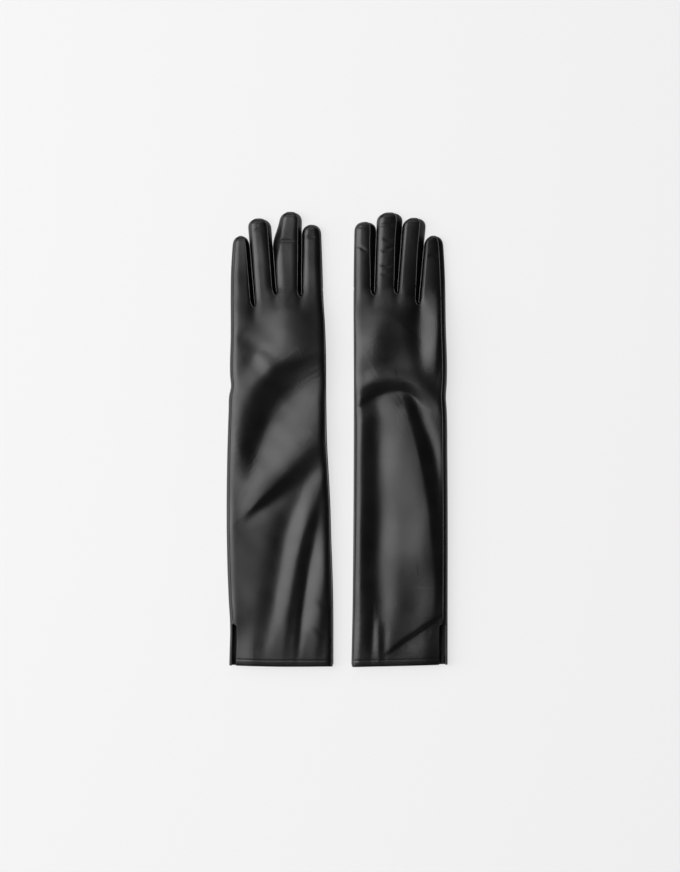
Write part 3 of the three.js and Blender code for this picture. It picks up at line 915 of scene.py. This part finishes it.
def seam_material():
    """The turned edge of the same leather, pinched at every stitch."""
    material, tree, shader = new_material("black_leather_stitched_seam")
    uv = node(tree, "ShaderNodeUVMap", uv_map="UVMap").outputs["UV"]
    along = node(tree, "ShaderNodeSeparateXYZ", {"Vector": uv}).outputs["X"]
    wave = node(tree, "ShaderNodeMath", {0: along, 1: 2 * math.pi}, operation="MULTIPLY")
    pinch = node(tree, "ShaderNodeMath", {0: wave.outputs["Value"]}, operation="SINE")
    bump = node(tree, "ShaderNodeBump", {"Height": pinch.outputs["Value"], "Strength": 0.5,
                "Distance": PINCH_DEPTH_MM * MM})
    tree.links.new(bump.outputs["Normal"], shader.inputs["Normal"])
    shader.inputs["Base Color"].default_value = linear("#0e0e0f")
    shader.inputs["Roughness"].default_value = 0.33
    return material


SEAM = seam_material()
print("seam finish:", SEAM.name)


# %% Build the seams
def seam_piece(name, paths, radius=SEAM_RADIUS):
    """One mesh of tubes along the paths, in mm."""
    points, quads, uvs, count = [], [], [], 0
    for path in paths:
        grid, uv = tube(path, radius)
        points.append(grid.reshape(-1, 3))
        uvs.append(uv.reshape(-1, 2))
        quads.append(quads_of(*grid.shape[:2], count))
        count += len(points[-1])
    return build(name, np.concatenate(points), np.concatenate(quads), SEAM, uv=np.concatenate(uvs))


def build_seams(side):
    """Side seams of the gauntlet, the loops round the forks, and the seams round each finger."""
    glove = GLOVES[side]
    long_paths = []
    for i in range(4):
        v = rows_of(glove, i)
        cut = cut_of(glove, i)
        finger = v >= cut - ROW_TOLERANCE
        for face in ("back", "palm"):
            grid = GRIDS[side][face][i]
            if face == "palm" and i in (0, 3):
                continue
            loop = np.concatenate([grid[finger, 0], grid[-1, 1:-1], grid[finger, -1][::-1]])
            loop[:, 2] = np.maximum(loop[:, 2], SEAM_RADIUS)
            name = f"{side}_{FINGERS[i]}_{face}_seam"
            settle(bend_at_knuckle(seam_piece(name, [loop])), "leather")
        if i == 3:
            long_paths.append(GRIDS[side]["back"][3][(v > VENT_TOP) & (v <= cut), -1])
        if i == 0:
            long_paths.append(GRIDS[side]["back"][0][(v > HEM + SEAM_START) & (v <= cut), 0])
    for k in range(3):
        low, high = (rows_of(glove, i) for i in (k, k + 1))
        foot = glove["forks"][k][1] - FORK_SLIT - ROW_TOLERANCE
        for face in ("back", "palm"):
            down = GRIDS[side][face][k][(low >= foot) & (low <= cut_of(glove, k)), -1][::-1]
            climb = GRIDS[side][face][k + 1][(high >= foot) & (high <= cut_of(glove, k + 1)), 0]
            long_paths.append(np.concatenate([down, climb[1:]]))
    settle(bend_at_wrist(seam_piece(f"{side}_gauntlet_seams", long_paths)), "leather")


for side in GLOVES:
    build_seams(side)
print("pieces so far:", PIECES)


# %% [markdown]
# ## Hem and vent
# At the cuff and along the vent the leather is turned in and stuck down. From outside it is a soft round
# edge; looking into the cuff it is a band of leather before the lining starts. Solidify would thicken the
# whole panel to get that edge. Here only the band is made: a half round along the edge, then the same
# sheet again, a little further in.

# %% Directions along an edge
def unit(vectors):
    """Each vector divided by its length."""
    return vectors / np.maximum(np.linalg.norm(vectors, axis=1), 1e-9)[:, None]


def soften(vectors, reach):
    """Running mean of directions over `reach` neighbours, so that a corner turns gradually."""
    kernel = np.ones(2 * reach + 1)
    padded = np.pad(vectors, ((reach, reach), (0, 0)), mode="edge")
    return unit(np.stack([np.convolve(padded[:, k], kernel, "valid") for k in range(3)], axis=1))


def grid_normals(grid, flip):
    """The grid's own vertex normals, in the grid's shape."""
    flat = grid.reshape(-1, 3)
    return vertex_normals(flat, quads_of(*grid.shape[:2], 0, flip)).reshape(grid.shape)


print("length of a unit direction:", float(np.linalg.norm(unit(np.array([[3.0, 4.0, 0.0]])))))


# %% Build the turned edge
HEM_FOLD = 0.7
FACING = 11.0
BAND_COLUMNS = 8
TURN_POINTS = 9
UNDERLAP_DROP = 5.0
BAND_STOP = 1
CORNER_REACH = 2


def hem_sheets(side, face):
    """Two strips of panel, from the edge inwards, with their normals: along the hem and up the vent."""
    flip = (face == "palm") == (side == "right")
    grids = GRIDS[side][face]
    normals = [grid_normals(grid, flip) for grid in grids]
    v = rows_of(GLOVES[side], 3)
    deep = np.count_nonzero(v <= HEM + FACING)
    along_hem = [np.concatenate([grid[:deep] for grid in part], axis=1).transpose(1, 0, 2)
                 for part in (grids, normals)]
    wide = BAND_COLUMNS + (CLIMB_COLUMNS if face == "palm" else 0)
    up_vent = [part[3][v < VENT_TOP - BAND_STOP, -wide:][:, ::-1] for part in (grids, normals)]
    return along_hem, up_vent


def build_hem(side):
    """The turned band on back and palm: a half circle of radius HEM_FOLD over the edge, then the same
    sheet again, 2·HEM_FOLD further in. Beside the vent it hangs down a little and closes the slit."""
    a = np.linspace(0, math.pi, TURN_POINTS)[None, :, None]
    strips, flips = [], []
    for face in ("back", "palm"):
        sheets = hem_sheets(side, face)
        edge, normal = (np.concatenate([sheet[k][:, 0] for sheet in sheets]) for k in (0, 1))
        outward = np.concatenate([sheet[0][:, 0] - sheet[0][:, 2] for sheet in sheets])
        outward = unit(outward - (outward * normal).sum(1)[:, None] * normal)
        outward = soften(outward, CORNER_REACH)
        over = np.sin(a) * outward[:, None] - (1 - np.cos(a)) * normal[:, None]
        turn = edge[:, None] + HEM_FOLD * over
        corner = len(sheets[0][0])
        for rows, sheet in ((slice(0, corner), sheets[0]), (slice(corner, None), sheets[1])):
            inside = sheet[0] - 2 * HEM_FOLD * sheet[1]
            if face == "back" and sheet is sheets[1]:
                inside[..., 2] -= UNDERLAP_DROP * np.linspace(0, 1, inside.shape[1]) ** 2
            strips.append(np.concatenate([turn[rows], inside[:, 1:]], axis=1))
            flips.append((face == "back") == (side == "right"))
    points, quads, _ = weld(strips, flips)
    hem = build(f"{side}_cuff_hem_leather", points, quads, EDGE_LEATHER)
    settle(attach(hem, f"{side}_sleeve"), "leather", f"{side}_cuff_hem")


for side in GLOVES:
    build_hem(side)


# %% [markdown]
# ## Lining
# The lining is a second, slightly smaller glove. A scaled copy would poke out wherever the glove is
# narrow. Instead each of its points is a leather point moved inwards along the normal, by the same
# distance everywhere. Little of it is ever seen, so it has fewer rows and columns.

# %% Build the lining
LINING_INSET = 1.7
LINING_ROWS = 3
LINING_COLUMNS = 2
LINING_OVERLAP = 8
LINING_TUCK = 2


def build_lining(side):
    """Back and palm moved inwards by LINING_INSET and thinned. Each finger's knit starts a little below
    the cut and the gauntlet's starts under the hem's facing, so that neither leaves a gap."""
    glove = GLOVES[side]
    for i in range(4):
        cells = {"finger": [], "gauntlet": []}
        v = rows_of(glove, i)
        for face in ("back", "palm"):
            grid = GRIDS[side][face][i]
            flip = (face == "palm") == (side == "right")
            inside = grid - LINING_INSET * grid_normals(grid, flip)
            finger = v >= cut_of(glove, i) - LINING_OVERLAP
            gauntlet = (v > HEM + FACING - LINING_TUCK) & (v < cut_of(glove, i))
            for part, rows in (("finger", finger), ("gauntlet", gauntlet)):
                cells[part].append((inside[rows][::LINING_ROWS, ::LINING_COLUMNS], not flip))
        for part, pieces in cells.items():
            points, quads, _ = weld([g for g, _ in pieces], [f for _, f in pieces])
            if part == "finger":
                obj = build(f"{side}_{FINGERS[i]}_knit", points, quads, LINING)
                settle(bend_at_knuckle(obj), "lining", f"{side}_{FINGERS[i]}_lining")
            else:
                obj = build(f"{side}_gauntlet_knit_{FINGERS[i]}", points, quads, LINING)
                nodes = (f"{side}_sleeve_lining", f"{side}_hand_lining") if i == 0 else ()
                settle(bend_at_wrist(obj), "lining", *nodes)


for side in GLOVES:
    build_lining(side)
print("lining pieces:", PIECES["lining"])


# %% [markdown]
# ## Thumbs
# The thumb is a stall of its own, set into the palm on a round hole and folded flat under the hand. Seen
# from above it only lifts the hand; it shows when it swings out. Its section is a flattened oval: the
# powers of sine and cosine below 1 make a circle squarer, as leather is when nothing fills it.

# %% The stall's shape
THUMB_PIVOT = (44.0, 75.7)
THUMB_LEAN = math.radians(15)
THUMB_LENGTH = 48.0
THUMB_BASE = 12.0
THUMB_TIP = 10.4
THUMB_TAPER = 30
THUMB_TIP_LENGTH = 12
THUMB_ROUNDING = 6.0
ACROSS_POWER = 0.8
HEIGHT_POWER = 0.65
WRINKLE_HEIGHT = 0.25
WRINKLE_TURN = 0.9
WRINKLE_PLACE = 12
WRINKLE_SPAN = 9


def thumb_section(shrink, rows, columns):
    """Rows along the stall from behind its pivot to its tip, columns round a flattened oval. The base
    is half a circle seen from above and the tip a rounded square. All of it is smaller by `shrink`."""
    t = np.sin(np.linspace(-math.pi / 2, math.pi / 2, rows)) * 0.5 + 0.5
    along = -THUMB_BASE + shrink + t * (THUMB_LENGTH + THUMB_BASE - 2 * shrink)
    base = np.sqrt(np.clip(1 - (np.clip(-along, 0, None) / (THUMB_BASE - shrink)) ** 2, 0, 1))
    tip = np.clip((along - THUMB_LENGTH + THUMB_TIP_LENGTH) / (THUMB_TIP_LENGTH - shrink), 0, 1)
    half = THUMB_BASE + (THUMB_TIP - THUMB_BASE) * np.clip(along / THUMB_TAPER, 0, 1) - shrink
    half = half * base * (1 - tip**TIP_POWER) ** (1 / TIP_POWER)
    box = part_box("right_thumb_stall")
    top = box[1].z / MM
    from_end = np.minimum(along + THUMB_BASE, THUMB_LENGTH - along)
    rise = (0.5 * top - shrink) * crown(from_end, THUMB_ROUNDING)
    a = np.linspace(0, 2 * math.pi, columns)
    across = half[:, None] * np.sign(np.cos(a)) * np.abs(np.cos(a)) ** ACROSS_POWER
    height = 0.5 * top + rise[:, None] * np.sign(np.sin(a)) * np.abs(np.sin(a)) ** HEIGHT_POWER
    wrinkle = WRINKLE_HEIGHT * np.sin(along * WRINKLE_TURN)[:, None]
    wrinkle = wrinkle * np.exp(-((along - WRINKLE_PLACE) / WRINKLE_SPAN) ** 2)[:, None] * np.abs(np.sin(a))
    return np.broadcast_to(along[:, None], across.shape), across, height - wrinkle * (np.sin(a) > 0)


def lay_thumb(side, along, across, height):
    """Turns the stall by THUMB_LEAN about its pivot, and puts the pivot in its place."""
    sign = GLOVES[side]["sign"]
    lean = THUMB_LEAN * sign
    x = sign * THUMB_PIVOT[0] + along * math.sin(lean) + across * math.cos(lean)
    y = THUMB_PIVOT[1] + along * math.cos(lean) - across * math.sin(lean)
    return np.stack(np.broadcast_arrays(x, y, height), axis=-1)


print("thumb stall:", THUMB_LENGTH + THUMB_BASE, "mm long")


# %% Build the thumb: NECK holds the height of each ring and how far it is from THUMB_HOLE's radius
THUMB_ROWS = 60
THUMB_COLUMNS = 41
THUMB_SEAM_RADIUS = 0.35
THUMB_SEAM_ROWS = slice(3, -1)
THUMB_HOLE = 8.2
NECK = np.array([(7.0, 0.8), (7.6, 0.0), (8.6, -0.2), (9.2, -0.8)])
THUMB_LINING_INSET = 1.3
THUMB_LINING_ROWS = 24
THUMB_LINING_COLUMNS = 21


def build_thumb(side):
    """Stall with its neck in the palm's hole, the seam round it, and its lining."""
    grid = lay_thumb(side, *thumb_section(0.0, THUMB_ROWS, THUMB_COLUMNS))
    a = np.linspace(0, 2 * math.pi, THUMB_COLUMNS)
    radius = THUMB_HOLE + NECK[:, 1:]
    neck = lay_thumb(side, radius * np.sin(a)[None], radius * np.cos(a)[None], NECK[:, :1])
    points, quads, _ = weld([grid, neck], [False, True])
    stall = build(f"{side}_thumb_stall_leather", points, quads, LEATHER)
    settle(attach(stall, f"{side}_thumb"), "leather", f"{side}_thumb_stall")
    edges = [grid[THUMB_SEAM_ROWS, 0], grid[THUMB_SEAM_ROWS, THUMB_COLUMNS // 2][::-1]]
    seam = seam_piece(f"{side}_thumb_seam", [np.concatenate(edges)], THUMB_SEAM_RADIUS)
    settle(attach(seam, f"{side}_thumb"), "leather")
    section = thumb_section(THUMB_LINING_INSET, THUMB_LINING_ROWS, THUMB_LINING_COLUMNS)
    inside = lay_thumb(side, *section)
    knit = build(f"{side}_thumb_knit", *weld([inside], [True])[:2], LINING)
    settle(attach(knit, f"{side}_thumb"), "lining", f"{side}_thumb_lining")


for side in GLOVES:
    build_thumb(side)
print("pieces:", PIECES)


# %% [markdown]
# ## Studio
# A pale floor that is partly its own light, as on a light table. One large softbox stands on the left
# and rakes across the folds; a low strip beside it and a softbox beyond the fingertips light the sides
# that it misses, and two weak strips on the right and in front keep those sides readable. A bright dome
# would light the floor as evenly, but black leather shows only what it mirrors, and for that a few
# plain bright areas are best.

# %% Floor
FLOOR_SIZE = 14.0
FLOOR_GLOW = 0.69
FLECKS_PER_METRE = 300.0
FLECK_DEPTH = 0.001


def pale_floor():
    """A matt light table: most of its brightness is its own, which keeps it even and its shadows light."""
    material, tree, shader = new_material("matt_pale_studio_paper")
    spot = node(tree, "ShaderNodeTexCoord").outputs["Object"]
    fleck = node(tree, "ShaderNodeTexNoise", {"Vector": spot, "Scale": FLECKS_PER_METRE, "Detail": 2.0})
    bump = node(tree, "ShaderNodeBump", {"Height": fleck.outputs["Fac"], "Strength": 0.02,
                "Distance": FLECK_DEPTH})
    tree.links.new(bump.outputs["Normal"], shader.inputs["Normal"])
    shader.inputs["Base Color"].default_value = linear("#7c7c7c")
    shader.inputs["Emission Color"].default_value = linear("#ffffff")
    shader.inputs["Emission Strength"].default_value = FLOOR_GLOW
    shader.inputs["Roughness"].default_value = 0.95
    shader.inputs["Specular IOR Level"].default_value = 0.1
    mesh = bpy.data.meshes.new("studio_floor")
    half = FLOOR_SIZE / 2
    corners = [(-half, -half, 0), (half, -half, 0), (half, half, 0), (-half, half, 0)]
    mesh.from_pydata(corners, [], [(0, 1, 2, 3)])
    floor = bpy.data.objects.new("studio_floor", mesh)
    bpy.context.scene.collection.objects.link(floor)
    mesh.materials.append(material)


pale_floor()
print("floor:", FLOOR_SIZE, "m across")

# %% Lights: place, size and power in watts
LIGHTS = {
    "left_softbox": ((-1.75, 0.25, 2.6), (2.2, 3.0), 104.0),
    "low_left_strip": ((-3.2, 0.2, 1.1), (3.0, 1.2), 45.0),
    "far_softbox": ((-0.6, 2.7, 2.3), (2.6, 1.4), 26.0),
    "low_near_strip": ((0.3, -3.0, 0.7), (3.0, 0.9), 14.0),
    "low_right_strip": ((2.9, -1.6, 0.7), (3.0, 0.9), 12.0),
}


def soft_light(name, spot, size, power):
    """A rectangular softbox aimed at the middle of the pair."""
    light = bpy.data.lights.new(name, "AREA")
    light.shape = "RECTANGLE"
    light.size, light.size_y = size
    light.energy = power
    obj = bpy.data.objects.new(name, light)
    obj.location = spot
    aim = -obj.location.normalized()
    obj.rotation_euler = aim.to_track_quat("-Z", "Y").to_euler()
    bpy.context.scene.collection.objects.link(obj)


for name, (spot, size, power) in LIGHTS.items():
    soft_light(name, spot, size, power)
print("lights:", list(LIGHTS))

# %% Surround: a dim room for the leather to mirror, but a pale one where the camera looks past the floor
ROOM_LIGHT = 0.015
ROOM_SEEN = 0.87

world = bpy.data.worlds.new("studio_surround")
world.use_nodes = True
surround = world.node_tree
seen = node(surround, "ShaderNodeLightPath").outputs["Is Camera Ray"]
level = node(surround, "ShaderNodeMapRange", {"Value": seen, "To Min": ROOM_LIGHT, "To Max": ROOM_SEEN})
surround.links.new(level.outputs["Result"], surround.nodes["Background"].inputs["Strength"])
surround.nodes["Background"].inputs["Color"].default_value = (1, 1, 1, 1)
bpy.context.scene.world = world
print("surround:", world.name)

# %% [markdown]
# ## Camera
# A long lens straight above keeps the gloves nearly free of perspective. Its height follows from the
# height of the view: half the view over half the sensor is the distance over the focal length.

# %% Camera
VIEW_HEIGHT = 0.898
VIEW_CENTRE = (0.00206, 0.0036)
GLOVE_LEVEL = 0.012
LENS = 100.0
SENSOR = 36.0

camera = bpy.data.cameras.new("camera")
camera.lens = LENS
camera.sensor_width = SENSOR
camera.clip_end = 30
eye = bpy.data.objects.new("camera", camera)
distance = VIEW_HEIGHT / 2 * LENS / (SENSOR / 2)
eye.location = (*VIEW_CENTRE, distance + GLOVE_LEVEL)
bpy.context.scene.collection.objects.link(eye)
bpy.context.scene.camera = eye
bpy.context.scene.view_settings.view_transform = "Standard"
print("camera height:", round(distance, 3), "m")
